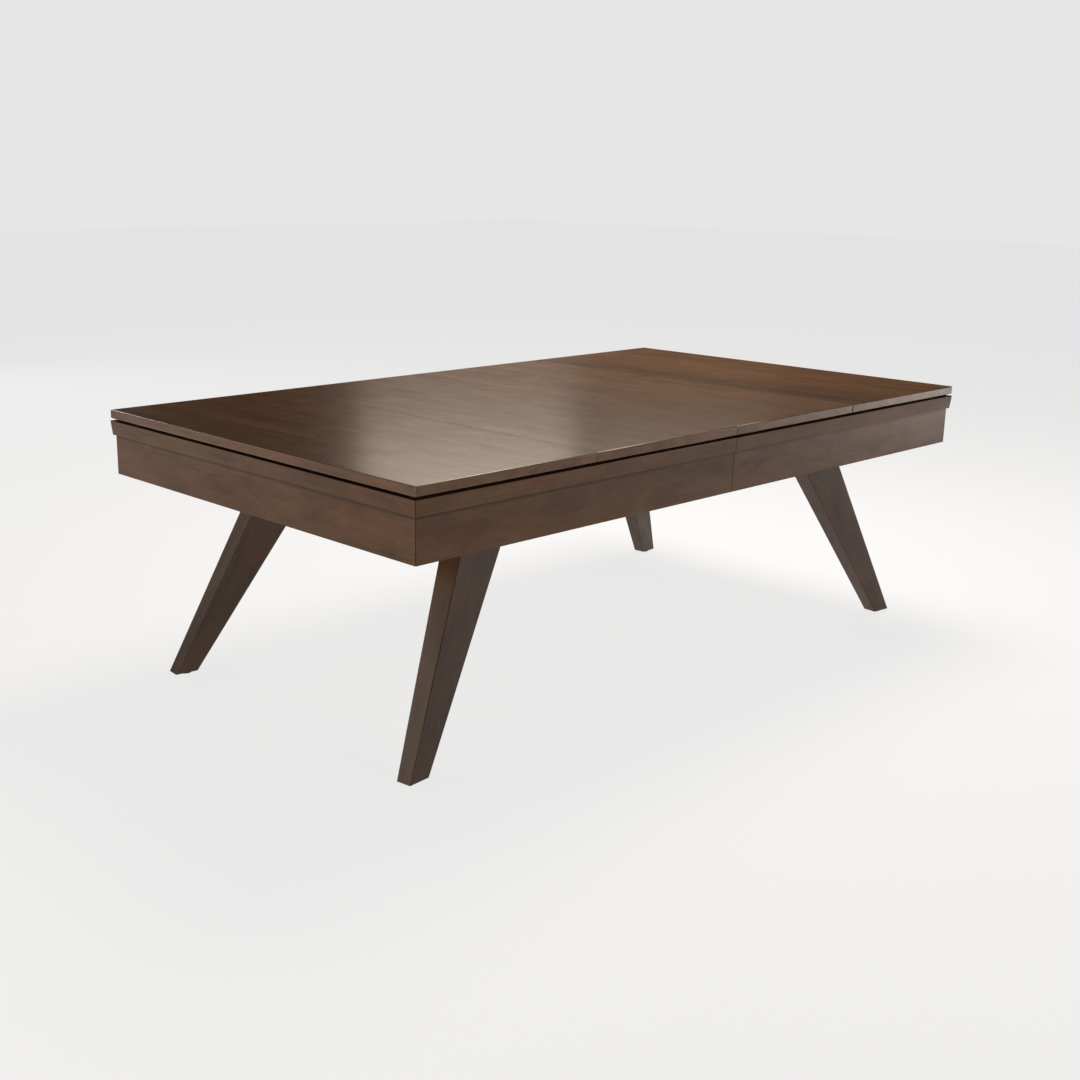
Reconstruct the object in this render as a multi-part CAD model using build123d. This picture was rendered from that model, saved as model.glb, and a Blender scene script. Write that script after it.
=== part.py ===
from build123d import *
import math
import os

os.makedirs("parts", exist_ok=True)

# Convertible pool table with a four-panel dining top. Millimetres.
# X runs along the table, Y across it, Z up. The origin is on the floor under the middle.
# "front" is the -Y long side, "back" +Y, "left" the -X end and "right" the +X end.
# Rail sections are drawn as (depth in from the rail's outer top edge, height above the floor).

# ---- driving dimensions ----
PLAY_LENGTH = 2235.0  # cushion nose to cushion nose, the 8 ft playing field
PLAY_WIDTH = 1118.0
HEIGHT = 855.0  # floor to the dining surface

# dining top
PANEL_THICK = 27.0
PANEL_SHARE_END = 0.2546  # an end panel's share of the top's length
PANEL_INSET = 1.5  # panel edge behind the rail's outer top edge
PANEL_SEAM = 1.2
PANEL_LIFT_GAP = 7.0  # panel underside above the rail top
PAD_RADIUS = 19.0
PAD_DEPTH = 30.0  # pad centre in from the rail's outer edge
PAD_FROM_SEAM = 95.0
END_PAD_PITCH = 300.0
SOFT_GAP = 0.3  # felt or leather beside a hard face

# rails and apron
RAIL_BEHIND_POCKET = 41.5  # wood between a side pocket and the rail's outer top edge
FASCIA_HEIGHT = 45.0
FASCIA_LEAN = 4.0
RAIL_OVER_BED = 42.0
LIP_GAP = 6.5  # rail's lip outside the slate's edge
APRON_HEIGHT = 125.0
APRON_THICK = 20.0
APRON_SETBACK = 11.5
SIDE_SEAM = 0.6  # joint at the middle of each long side
MITRE_GAP = 0.3

# cushions and cloth
CUSHION_DEPTH = 33.0
NOSE_OVER_BED = 36.5
CUSHION_BACK_LOW = 11.0  # underside of the rubber above the bed, at its back
NOSE_FACE = 6.0  # upright height of the blunt nose
NOSE_RADIUS = 3.0
CLOTH_THICK = 1.0
FEATHER_WIDTH = 5.0
FEATHER_HEIGHT = 7.0
FEATHER_FROM_EDGE = 8.0  # the strip's groove, in from the wood's inner edge

# slate bed and frame
SLATE_THICK = 25.0
SLATE_OVERHANG = 100.0  # slate beyond the cushion nose
SLATE_COUNT = 3
BEAM_THICK = 45.0
BEAM_HEIGHT = 90.0
BEAM_CUP_GAP = 10.0  # frame beam to the pocket cups
SEAM_BEAM_WIDTH = 60.0
LEG_BEAM_WIDTH = 260.0
LEG_BEAM_HEIGHT = 57.0

# pockets
CORNER_MOUTH = 115.0
SIDE_MOUTH = 128.0
CORNER_CUT_ANGLE = 142.0
SIDE_CUT_ANGLE = 104.0
CORNER_SHELF = 40.0
SIDE_SHELF = 5.0
POCKET_RADIUS = 60.0
POCKET_WALL = 3.0
POCKET_DROP = 112.0  # cup floor below the bed
POCKET_FLANGE = 10.0
FLANGE_THICK = 2.5
POCKET_FIT = 0.3

# sights
SIGHT_FROM_NOSE = 94.0
SIGHT_LENGTH = 25.0
SIGHT_WIDTH = 12.0
SIGHT_DEPTH = 2.0

# legs: the centre line's place outside the playing field's end and side
FOOT_PAST_END = 40.8
FOOT_PAST_SIDE = 10.9
LEG_PAST_END = -315.7  # at the apron's lower edge
LEG_PAST_SIDE = -116.2
FOOT_LENGTH = 76.0
FOOT_WIDTH = 49.0
LEG_LENGTH = 192.2  # section at the apron's lower edge
LEG_WIDTH = 77.5
LEG_TURN = 6.6  # plan angle of the leg's flat side to the table's length
LEG_ARRIS = 2.5
LEG_PLATE_THICK = 6.0
LEG_PLATE_MARGIN = 14.0

# levellers
LEVELLER_THICK = 5.0
LEVELLER_RADIUS = 18.0
STUD_RADIUS = 5.0
STUD_LENGTH = 30.0
INSERT_RADIUS = 9.0
INSERT_LENGTH = 22.0
STUD_FIT = 0.1

# fasteners
BOLT_RADIUS = 5.0
BOLT_HEAD_RADIUS = 9.5
BOLT_HEAD_HEIGHT = 7.0
BOLT_INTO_RAIL = 22.0
WASHER_RADIUS = 15.0
WASHER_THICK = 2.5
RAIL_BOLT_INSET = 31.5  # in from the slate's edge
RAIL_BOLT_PITCH = 300.0
HOLE_FIT = 0.2
LEG_BOLT_RADIUS = 6.0
LEG_BOLT_HEAD_RADIUS = 12.0
LEG_BOLT_HEAD_HEIGHT = 8.0
LEG_BOLT_PITCH = 100.0
LEG_BOLT_INTO_LEG = 42.0
SLATE_SCREW_RADIUS = 3.0
SLATE_SCREW_HEAD_RADIUS = 6.5
SLATE_SCREW_LENGTH = 55.0
SLATE_SCREW_FROM_JOINT = 60.0
POCKET_SCREW_RADIUS = 2.0
POCKET_SCREW_HEAD_RADIUS = 3.6
POCKET_SCREW_HEAD_HEIGHT = 1.8
POCKET_SCREW_LENGTH = 18.0
POCKET_SCREW_SPREAD = 55.0  # degrees to each side of the pocket's axis
BRACKET_MARGIN = 2.5  # bracket short of the lip's inner edge
BRACKET_DROP = 40.0
BRACKET_WIDTH = 40.0
BRACKET_THICK = 2.5

# ---- derived levels ----
RAIL_TOP = HEIGHT - PANEL_THICK - PANEL_LIFT_GAP
FASCIA_BOTTOM = RAIL_TOP - FASCIA_HEIGHT
APRON_BOTTOM = FASCIA_BOTTOM - APRON_HEIGHT
BED = RAIL_TOP - RAIL_OVER_BED
SLATE_TOP = BED - CLOTH_THICK
SLATE_BOTTOM = SLATE_TOP - SLATE_THICK
CUP_BOTTOM = BED - POCKET_DROP - POCKET_WALL
LEG_TOP = SLATE_BOTTOM - LEG_BEAM_HEIGHT - LEG_PLATE_THICK

# ---- derived plan sizes ----
RAIL_WIDTH = SIDE_SHELF + 2 * POCKET_RADIUS + RAIL_BEHIND_POCKET  # cushion nose to the outer top edge
RAIL_LIP_DEPTH = RAIL_WIDTH - SLATE_OVERHANG - LIP_GAP
RAIL_BOLT_DEPTH = RAIL_WIDTH - SLATE_OVERHANG + RAIL_BOLT_INSET
HALF_LENGTH = PLAY_LENGTH / 2 + RAIL_WIDTH
HALF_WIDTH = PLAY_WIDTH / 2 + RAIL_WIDTH
WOOD_DEPTH = RAIL_WIDTH - CUSHION_DEPTH
TOP_LENGTH = 2 * (HALF_LENGTH - PANEL_INSET)
TOP_WIDTH = 2 * (HALF_WIDTH - PANEL_INSET)
SLATE_HALF_LENGTH = PLAY_LENGTH / 2 + SLATE_OVERHANG
SLATE_HALF_WIDTH = PLAY_WIDTH / 2 + SLATE_OVERHANG
SLATE_PIECE = 2 * SLATE_HALF_LENGTH / SLATE_COUNT
CORNER_OFFSET = (CORNER_SHELF + POCKET_RADIUS - CORNER_MOUTH / 2) / math.sqrt(2)
CORNER_X = PLAY_LENGTH / 2 + CORNER_OFFSET
CORNER_Y = PLAY_WIDTH / 2 + CORNER_OFFSET
SIDE_Y = PLAY_WIDTH / 2 + SIDE_SHELF + POCKET_RADIUS
BEAM_OUTER_Y = PLAY_WIDTH / 2 + SIDE_SHELF - BEAM_CUP_GAP
BEAM_OUTER_X = CORNER_X - POCKET_RADIUS - BEAM_CUP_GAP
SIGHT_PITCH = PLAY_LENGTH / 8

# side name: half span of its run, distance of its outer edge, turn about Z, runs (name, start, stop)
SIDES = {
    "front": (HALF_LENGTH, HALF_WIDTH, 0, [("left", -1, 0), ("right", 0, 1)]),
    "back": (HALF_LENGTH, HALF_WIDTH, 180, [("right", -1, 0), ("left", 0, 1)]),
    "right": (HALF_WIDTH, HALF_LENGTH, 90, [("end", -1, 1)]),
    "left": (HALF_WIDTH, HALF_LENGTH, 270, [("end", -1, 1)]),
}
# corner name: signs of X and Y
CORNERS = {
    "front_left": (-1, -1),
    "front_right": (1, -1),
    "back_left": (-1, 1),
    "back_right": (1, 1),
}


def box_between(x0, x1, y0, y1, z0, z1):
    """Block between two corners."""
    middle = Pos((x0 + x1) / 2, (y0 + y1) / 2, (z0 + z1) / 2)
    return middle * Box(x1 - x0, y1 - y0, z1 - z0)


def post(radius, x, y, z0, z1):
    """Upright cylinder between two heights."""
    return Pos(x, y, (z0 + z1) / 2) * Cylinder(radius, z1 - z0)


def save(shape, name):
    """Write one sub-part under its own name."""
    shape.label = name
    export_step(shape, f"parts/{name}.step")


def run_span(side, start, stop, gap):
    """Start and stop of a run along its side, less half the joint at mid-length."""
    half_span = SIDES[side][0]
    low = start * half_span if start else gap / 2
    high = stop * half_span if stop else -gap / 2
    return low, high


def section_bar(section, side, low, high):
    """Extrude a rail section along one side, in the front side's position."""
    outer = SIDES[side][1]
    outline = Polyline(*[(depth - outer, z) for depth, z in section], close=True)
    face = make_face(Plane.YZ * outline)
    return Pos(low, 0, 0) * extrude(face, high - low, dir=(1, 0, 0))


def mitred(shape, side):
    """Trim a run to the 45 degree mitres at the table's corners."""
    half_span, outer = SIDES[side][:2]
    depth = RAIL_WIDTH
    edge = half_span - MITRE_GAP / math.sqrt(2)
    back = edge - depth
    inner = depth - outer
    plan = Polyline((-edge, -outer), (edge, -outer), (back, inner), (-back, inner), close=True)
    prism = extrude(make_face(plan), HEIGHT)
    return shape & prism


def turned(shape, side):
    """Turn a front-side shape to its own side."""
    return Rot(0, 0, SIDES[side][2]) * shape


# ---- pockets ----
def pocket_places():
    """Name, kind and location of each pocket; local +Y points away from the playing field."""
    places = []
    for name, (sx, sy) in CORNERS.items():
        turn = -45 * sx if sy > 0 else 180 + 45 * sx
        places.append((name, "corner", Pos(sx * CORNER_X, sy * CORNER_Y, 0) * Rot(0, 0, turn)))
    places.append(("front_side", "side", Pos(0, -SIDE_Y, 0) * Rot(0, 0, 180)))
    places.append(("back_side", "side", Pos(0, SIDE_Y, 0)))
    return places


def jaw_values(kind):
    """Half mouth, local Y of the mouth and how far the facings turn in, in radians."""
    if kind == "corner":
        return CORNER_MOUTH / 2, -POCKET_RADIUS - CORNER_SHELF, math.radians(CORNER_CUT_ANGLE - 135)
    return SIDE_MOUTH / 2, -POCKET_RADIUS - SIDE_SHELF, math.radians(SIDE_CUT_ANGLE - 90)


def jaw_sketch(kind, inset):
    """Plan of the opening between the facings; a positive inset moves the facings apart."""
    half_mouth, mouth_y, converge = jaw_values(kind)
    half_mouth += inset / math.cos(converge)
    reach = half_mouth * math.sin(converge) - mouth_y * math.cos(converge)
    inner_x = -half_mouth + reach * math.sin(converge)
    inner_y = mouth_y + reach * math.cos(converge)
    corners = [(-half_mouth, mouth_y), (inner_x, inner_y), (-inner_x, inner_y), (half_mouth, mouth_y)]
    return make_face(Polyline(*corners, close=True))


def facing_end(kind):
    """Local Y where a facing runs out into the round opening."""
    half_mouth, mouth_y, converge = jaw_values(kind)
    reach = half_mouth * math.sin(converge) - mouth_y * math.cos(converge)
    off_centre = half_mouth * math.cos(converge) + mouth_y * math.sin(converge)
    return mouth_y + (reach - math.sqrt(POCKET_RADIUS**2 - off_centre**2)) * math.cos(converge)


def jaw_cutter(kind, place, radius, inset=0.0):
    """Opening of one pocket through rail and cushion."""
    plan = jaw_sketch(kind, inset) + Circle(radius)
    return place * extrude(plan, HEIGHT)


def without_jaws(shape, inset=0.0):
    """Cut all six pocket openings out of a shape."""
    for _, kind, place in pocket_places():
        shape = shape - jaw_cutter(kind, place, POCKET_RADIUS, inset)
    return shape


def pocket_screw_spots():
    """Local X and Y of a pocket's screws, on the flange behind the opening."""
    ring = POCKET_RADIUS + POCKET_FLANGE / 2
    angles = [math.radians(turn * POCKET_SCREW_SPREAD) for turn in (-1, 1)]
    return [(ring * math.sin(angle), ring * math.cos(angle)) for angle in angles]


def pocket(kind, place):
    """Leather drop pocket: a cup under the rail, open to the table above the bed, with a flange on top."""
    outer = POCKET_RADIUS - POCKET_FIT
    inner = outer - POCKET_WALL
    cup = post(outer, 0, 0, CUP_BOTTOM, RAIL_TOP + FLANGE_THICK)
    flange = post(POCKET_RADIUS + POCKET_FLANGE, 0, 0, RAIL_TOP, RAIL_TOP + FLANGE_THICK)
    shape = cup + flange - post(inner, 0, 0, CUP_BOTTOM + POCKET_WALL, HEIGHT)
    reach = 2 * POCKET_RADIUS
    line = facing_end(kind)
    shape = shape - box_between(-reach, reach, -reach, line, SLATE_TOP, HEIGHT)
    for x, y in pocket_screw_spots():
        shape = shape - post(POCKET_SCREW_RADIUS + HOLE_FIT, x, y, RAIL_TOP - 1, HEIGHT)
    return place * shape


def pocket_screws():
    """Two screws through each pocket's flange into the rail."""
    low = RAIL_TOP + FLANGE_THICK - POCKET_SCREW_LENGTH
    seat = RAIL_TOP + FLANGE_THICK
    screws = []
    for _, _, place in pocket_places():
        for x, y in pocket_screw_spots():
            head = post(POCKET_SCREW_HEAD_RADIUS, x, y, seat, seat + POCKET_SCREW_HEAD_HEIGHT)
            screws.append(place * (head + post(POCKET_SCREW_RADIUS, x, y, low, seat)))
    return Compound(screws)


def pocket_screw_holes():
    """Holes in the rails for the pocket screws."""
    low = RAIL_TOP + FLANGE_THICK - POCKET_SCREW_LENGTH - 1
    holes = []
    for _, _, place in pocket_places():
        for x, y in pocket_screw_spots():
            holes.append(place * post(POCKET_SCREW_RADIUS + HOLE_FIT, x, y, low, HEIGHT))
    return holes


# ---- rails, cushions, apron ----
def rail_bolt_spots(side):
    """Distances along a side of its rail bolts, three to each length of rail."""
    middles = (0,) if side in ("left", "right") else (-PLAY_LENGTH / 4, PLAY_LENGTH / 4)
    return [middle + step * RAIL_BOLT_PITCH for middle in middles for step in (-1, 0, 1)]


def sight_spots(side):
    """Distances along a side of its diamond sights."""
    steps = (-1, 0, 1) if side in ("left", "right") else (-3, -2, -1, 1, 2, 3)
    return [step * SIGHT_PITCH for step in steps]


def sight_shape(side, along):
    """One diamond inlay, flush with the rail's top."""
    half_long, half_wide = SIGHT_LENGTH / 2, SIGHT_WIDTH / 2
    plan = make_face(Polyline((-half_long, 0), (0, -half_wide), (half_long, 0), (0, half_wide), close=True))
    depth = RAIL_WIDTH - SIGHT_FROM_NOSE
    return Pos(along, depth - SIDES[side][1], RAIL_TOP - SIGHT_DEPTH) * extrude(plan, SIGHT_DEPTH)


def rail_sights():
    """All diamond sights as separate inlays."""
    return Compound([turned(sight_shape(side, along), side) for side in SIDES for along in sight_spots(side)])


def groove_outer():
    """Depth of the feather strip groove's outer wall."""
    return WOOD_DEPTH - FEATHER_FROM_EDGE - FEATHER_WIDTH


def rail_section():
    """Wood of the rail: leaning fascia, lip outside the slate, rebate for the cloth, strip groove."""
    step = RAIL_TOP - CLOTH_THICK
    outer = groove_outer()
    inner = outer + CLOTH_THICK + FEATHER_WIDTH
    floor = step - FEATHER_HEIGHT
    return [
        (0, RAIL_TOP), (FASCIA_LEAN, FASCIA_BOTTOM), (RAIL_LIP_DEPTH, FASCIA_BOTTOM), (RAIL_LIP_DEPTH, BED),
        (WOOD_DEPTH, BED), (WOOD_DEPTH, step), (inner, step),
        (inner, floor), (outer, floor), (outer, RAIL_TOP),
    ]


def rail(side, start, stop, screw_holes):
    """One length of hardwood rail with its pocket openings, sight recesses and bolt holes."""
    low, high = run_span(side, start, stop, SIDE_SEAM)
    shape = mitred(section_bar(rail_section(), side, low, high), side)
    for along in sight_spots(side):
        if low < along < high:
            shape = shape - sight_shape(side, along)
    for along in rail_bolt_spots(side):
        if low < along < high:
            y = RAIL_BOLT_DEPTH - SIDES[side][1]
            shape = shape - post(BOLT_RADIUS + HOLE_FIT, along, y, BED - 1, BED + BOLT_INTO_RAIL + 1)
    shape = without_jaws(turned(shape, side))
    for hole in screw_holes:
        shape = shape - hole
    return shape


def cushion_section(skin):
    """Cushion section, the cloth's outer face or that face moved in by a skin."""
    nose_z = BED + NOSE_OVER_BED
    nose_low = nose_z - NOSE_FACE / 2
    slope = (nose_low - BED - CUSHION_BACK_LOW) / CUSHION_DEPTH
    rise = skin * math.sqrt(1 + slope * slope)
    nose = RAIL_WIDTH - skin
    return [
        (WOOD_DEPTH, BED + CUSHION_BACK_LOW + rise), (WOOD_DEPTH, RAIL_TOP - skin),
        (nose, nose_z + NOSE_FACE / 2 - skin), (nose, nose_low - slope * skin + rise),
    ]


def cushion_bar(side, start, stop, skin):
    """One length of cushion between two pockets, at the cloth's face or a skin inside it."""
    across = side in ("left", "right")
    half_span, nose_y = (PLAY_WIDTH / 2, PLAY_LENGTH / 2) if across else (PLAY_LENGTH / 2, PLAY_WIDTH / 2)
    bar = section_bar(cushion_section(skin), side, start * half_span, stop * half_span)
    long_edges = [edge for edge in bar.edges() if edge.length > half_span / 2]
    nose = [edge for edge in long_edges if abs(edge.center().Y + nose_y + skin) < 0.1]
    bar = fillet(nose, NOSE_RADIUS - skin)
    return without_jaws(turned(bar, side), skin)


def cushion(side, start, stop):
    """Rubber cushion, a cloth's thickness inside its cover."""
    return cushion_bar(side, start, stop, CLOTH_THICK)


def cushion_cloth(side, start, stop):
    """Cloth over one cushion: top, nose, underside and facings, tucked into the strip groove."""
    shell = cushion_bar(side, start, stop, 0.0) - cushion(side, start, stop)
    step = RAIL_TOP - CLOTH_THICK
    outer = groove_outer()
    fold = [
        (outer, step - FEATHER_HEIGHT), (outer, RAIL_TOP), (WOOD_DEPTH, RAIL_TOP),
        (WOOD_DEPTH, step), (outer + CLOTH_THICK, step), (outer + CLOTH_THICK, step - FEATHER_HEIGHT),
    ]
    low, high = run_span(side, start, stop, SIDE_SEAM)
    tuck = without_jaws(turned(mitred(section_bar(fold, side, low, high), side), side))
    return largest(shell + keep_between(tuck, side, start, stop))


def keep_between(shape, side, start, stop):
    """Drop what lies beyond the pockets at the ends of a cushion."""
    half_span = PLAY_WIDTH / 2 if side in ("left", "right") else PLAY_LENGTH / 2
    outer = SIDES[side][1]
    slab = box_between(start * half_span, stop * half_span, -outer - 1, 0, 0, HEIGHT + 1)
    return shape & turned(slab, side)


def largest(shape):
    """The largest solid of a shape."""
    return max(shape.solids(), key=lambda solid: solid.volume)


def feather_strip(side, start, stop):
    """Wooden strip that wedges the cushion cloth into its groove."""
    step = RAIL_TOP - CLOTH_THICK
    outer = groove_outer() + CLOTH_THICK
    inner = outer + FEATHER_WIDTH
    floor = step - FEATHER_HEIGHT
    section = [(outer, floor), (outer, step), (inner, step), (inner, floor)]
    low, high = run_span(side, start, stop, SIDE_SEAM)
    bar = without_jaws(turned(mitred(section_bar(section, side, low, high), side), side))
    return largest(keep_between(bar, side, start, stop))


def apron(side, start, stop):
    """One mitred length of apron under the rail."""
    outer = APRON_SETBACK
    inner = outer + APRON_THICK
    section = [(outer, APRON_BOTTOM), (outer, FASCIA_BOTTOM), (inner, FASCIA_BOTTOM), (inner, APRON_BOTTOM)]
    low, high = run_span(side, start, stop, SIDE_SEAM)
    return turned(mitred(section_bar(section, side, low, high), side), side)


def apron_brackets():
    """Steel angles that hold the apron under the rail's lip."""
    near = APRON_SETBACK + APRON_THICK
    far = RAIL_LIP_DEPTH - BRACKET_MARGIN
    top = FASCIA_BOTTOM
    angle = [
        (near, top - BRACKET_DROP), (near, top), (far, top), (far, top - BRACKET_THICK),
        (near + BRACKET_THICK, top - BRACKET_THICK), (near + BRACKET_THICK, top - BRACKET_DROP),
    ]
    angles = []
    for side in SIDES:
        for along in rail_bolt_spots(side):
            bar = section_bar(angle, side, along - BRACKET_WIDTH / 2, along + BRACKET_WIDTH / 2)
            angles.append(turned(bar, side))
    return Compound(angles)


def rail_bolts():
    """Bolts and washers that pull the rails down on the slate from below."""
    pieces = []
    for side in SIDES:
        y = RAIL_BOLT_DEPTH - SIDES[side][1]
        for along in rail_bolt_spots(side):
            seat = SLATE_BOTTOM - WASHER_THICK
            washer = post(WASHER_RADIUS, along, y, seat, SLATE_BOTTOM)
            washer = washer - post(BOLT_RADIUS + HOLE_FIT, along, y, seat - 1, SLATE_BOTTOM + 1)
            head = extrude(RegularPolygon(BOLT_HEAD_RADIUS, 6), BOLT_HEAD_HEIGHT)
            shank = post(BOLT_RADIUS, along, y, seat, BED + BOLT_INTO_RAIL)
            bolt = Pos(along, y, seat - BOLT_HEAD_HEIGHT) * head + shank
            pieces.append(turned(washer, side))
            pieces.append(turned(bolt, side))
    return Compound(pieces)


# ---- slate bed ----
def slate_plan():
    """Outline of the bed: corners cut back at the corner pockets, round notches at all six."""
    plan = Rectangle(2 * SLATE_HALF_LENGTH, 2 * SLATE_HALF_WIDTH)
    reach = 2 * SLATE_OVERHANG
    for _, kind, place in pocket_places():
        plan = plan - place * Circle(POCKET_RADIUS)
        if kind == "corner":
            plan = plan - place * Pos(0, reach / 2) * Rectangle(2 * reach, reach)
    return plan


def slate_screw_spots():
    """X and Y of the screws that hold the slates on the side beams."""
    y = BEAM_OUTER_Y - BEAM_THICK / 2
    spots = []
    for number in range(SLATE_COUNT):
        start = number * SLATE_PIECE - SLATE_HALF_LENGTH
        low = max(start, -BEAM_OUTER_X) + SLATE_SCREW_FROM_JOINT
        high = min(start + SLATE_PIECE, BEAM_OUTER_X) - SLATE_SCREW_FROM_JOINT
        spots += [(x, side * y) for x in (low, (low + high) / 2, high) for side in (-1, 1)]
    return spots


def slate_screw(x, y, fit):
    """Countersunk screw flush with the slate; with a fit it is the hole for one."""
    low = SLATE_TOP - SLATE_SCREW_LENGTH - fit
    head_height = SLATE_SCREW_HEAD_RADIUS - SLATE_SCREW_RADIUS
    shank_radius = SLATE_SCREW_RADIUS + fit
    shank = post(shank_radius, x, y, low, SLATE_TOP)
    head = Cone(shank_radius, SLATE_SCREW_HEAD_RADIUS + fit, head_height)
    return shank + Pos(x, y, SLATE_TOP - head_height / 2) * head


def slate(number, bed):
    """One of the slates, with its rail bolt holes and countersunk screw holes."""
    start = number * SLATE_PIECE - SLATE_HALF_LENGTH
    shape = bed & box_between(start, start + SLATE_PIECE, -HALF_WIDTH, HALF_WIDTH, 0, HEIGHT)
    for x, y in slate_screw_spots():
        if start < x < start + SLATE_PIECE:
            shape = shape - slate_screw(x, y, HOLE_FIT)
    return shape


def bed_with_bolt_holes():
    """Whole slate bed before it is parted."""
    bed = Pos(0, 0, SLATE_BOTTOM) * extrude(slate_plan(), SLATE_THICK)
    for side in SIDES:
        for along in rail_bolt_spots(side):
            hole = post(BOLT_RADIUS + HOLE_FIT, along, RAIL_BOLT_DEPTH - SIDES[side][1], 0, HEIGHT)
            bed = bed - turned(hole, side)
    return bed


def bed_cloth():
    """Playing cloth over the slates, with holes for the rail bolts."""
    cloth = Pos(0, 0, SLATE_TOP) * extrude(slate_plan(), CLOTH_THICK)
    for side in SIDES:
        for along in rail_bolt_spots(side):
            hole = post(BOLT_RADIUS + HOLE_FIT, along, RAIL_BOLT_DEPTH - SIDES[side][1], 0, HEIGHT)
            cloth = cloth - turned(hole, side)
    return cloth


# ---- frame ----
def leg_place(z):
    """Distances of the leg's centre line from the table's middle at one height."""
    share = z / APRON_BOTTOM
    x = PLAY_LENGTH / 2 + FOOT_PAST_END + share * (LEG_PAST_END - FOOT_PAST_END)
    y = PLAY_WIDTH / 2 + FOOT_PAST_SIDE + share * (LEG_PAST_SIDE - FOOT_PAST_SIDE)
    return x, y


def leg_size(z):
    """Length and width of the leg's section at one height."""
    share = z / APRON_BOTTOM
    return FOOT_LENGTH + share * (LEG_LENGTH - FOOT_LENGTH), FOOT_WIDTH + share * (LEG_WIDTH - FOOT_WIDTH)


def leg_bolt_spots():
    """X and Y of the two bolts of the back right leg."""
    x, y = leg_place(LEG_TOP)
    turn = math.radians(LEG_TURN)
    half = LEG_BOLT_PITCH / 2
    return [(x + sign * half * math.cos(turn), y + sign * half * math.sin(turn)) for sign in (-1, 1)]


def side_beam(sy):
    """Long beam of the frame under the slates."""
    y = sy * (BEAM_OUTER_Y - BEAM_THICK / 2)
    low = SLATE_BOTTOM - BEAM_HEIGHT
    beam = box_between(-BEAM_OUTER_X, BEAM_OUTER_X, y - BEAM_THICK / 2, y + BEAM_THICK / 2, low, SLATE_BOTTOM)
    for x, y in slate_screw_spots():
        if y * sy > 0:
            beam = beam - slate_screw(x, y, HOLE_FIT)
    return beam


def end_beam(sx):
    """Short beam between the side beams at one end."""
    x = sx * (BEAM_OUTER_X - BEAM_THICK / 2)
    half = BEAM_OUTER_Y - BEAM_THICK
    low = SLATE_BOTTOM - BEAM_HEIGHT
    return box_between(x - BEAM_THICK / 2, x + BEAM_THICK / 2, -half, half, low, SLATE_BOTTOM)


def seam_beams():
    """Cross beams under the joints between slates."""
    half = BEAM_OUTER_Y - BEAM_THICK
    low = SLATE_BOTTOM - BEAM_HEIGHT
    beams = []
    for number in range(1, SLATE_COUNT):
        start = number * SLATE_PIECE - SLATE_HALF_LENGTH - SEAM_BEAM_WIDTH / 2
        beams.append(box_between(start, start + SEAM_BEAM_WIDTH, -half, half, low, SLATE_BOTTOM))
    return Compound(beams)


def leg_beam(sx):
    """Wide cross beam that the two legs of one end bolt to."""
    start = sx * leg_place(LEG_TOP)[0] - LEG_BEAM_WIDTH / 2
    half = BEAM_OUTER_Y - BEAM_THICK
    low = SLATE_BOTTOM - LEG_BEAM_HEIGHT
    beam = box_between(start, start + LEG_BEAM_WIDTH, -half, half, low, SLATE_BOTTOM)
    for bolt_x, bolt_y in leg_bolt_spots():
        for sy in (-1, 1):
            beam = beam - leg_bolt(sx * bolt_x, sy * bolt_y, HOLE_FIT)
    return beam


def leg_bolt(x, y, fit):
    """Leg bolt with its head let into the beam; with a fit it is the hole for one."""
    seat = SLATE_BOTTOM - LEG_BOLT_HEAD_HEIGHT
    shank = post(LEG_BOLT_RADIUS + fit, x, y, LEG_TOP - LEG_BOLT_INTO_LEG - fit, seat)
    head = post(LEG_BOLT_HEAD_RADIUS + fit, x, y, seat, SLATE_BOTTOM + fit)
    return shank + head


def leg_bolts():
    """Two bolts for each leg."""
    spots = [(sx * x, sy * y) for sx, sy in CORNERS.values() for x, y in leg_bolt_spots()]
    return Compound([leg_bolt(x, y, 0.0) for x, y in spots])


def at_corner(shape, corner):
    """Mirror a shape made at the back right corner to another corner."""
    sx, sy = CORNERS[corner]
    if sx < 0:
        shape = mirror(shape, about=Plane.YZ)
    if sy < 0:
        shape = mirror(shape, about=Plane.XZ)
    return shape


def leg_section(z):
    """Face of the leg at one height, at the back right corner."""
    x, y = leg_place(z)
    length, width = leg_size(z)
    return Pos(x, y, z) * Rot(0, 0, LEG_TURN) * Rectangle(length, width)


def leveller_spot():
    """X and Y of the leveller, on the leg's centre line at the middle of its insert."""
    return leg_place(LEVELLER_THICK + INSERT_LENGTH / 2)


def leg(corner):
    """Splayed tapered leg with its leveller bore and bolt holes."""
    shape = loft([leg_section(LEVELLER_THICK), leg_section(LEG_TOP)], ruled=True)
    long_edges = [edge for edge in shape.edges() if edge.length > HEIGHT / 2]
    shape = fillet(long_edges, LEG_ARRIS)
    x, y = leveller_spot()
    shape = shape - post(INSERT_RADIUS, x, y, 0, LEVELLER_THICK + INSERT_LENGTH)
    shape = shape - post(STUD_RADIUS + HOLE_FIT, x, y, 0, LEVELLER_THICK + STUD_LENGTH + 1)
    for bolt_x, bolt_y in leg_bolt_spots():
        shape = shape - leg_bolt(bolt_x, bolt_y, HOLE_FIT)
    return at_corner(shape, corner)


def leg_plates():
    """Steel plate between each leg and its beam."""
    length, width = leg_size(LEG_TOP)
    x, y = leg_place(LEG_TOP)
    plate = Rectangle(length + 2 * LEG_PLATE_MARGIN, width + 2 * LEG_PLATE_MARGIN)
    shape = Pos(x, y, LEG_TOP) * Rot(0, 0, LEG_TURN) * extrude(plate, LEG_PLATE_THICK)
    for bolt_x, bolt_y in leg_bolt_spots():
        shape = shape - leg_bolt(bolt_x, bolt_y, HOLE_FIT)
    return Compound([at_corner(shape, corner) for corner in CORNERS])


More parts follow.
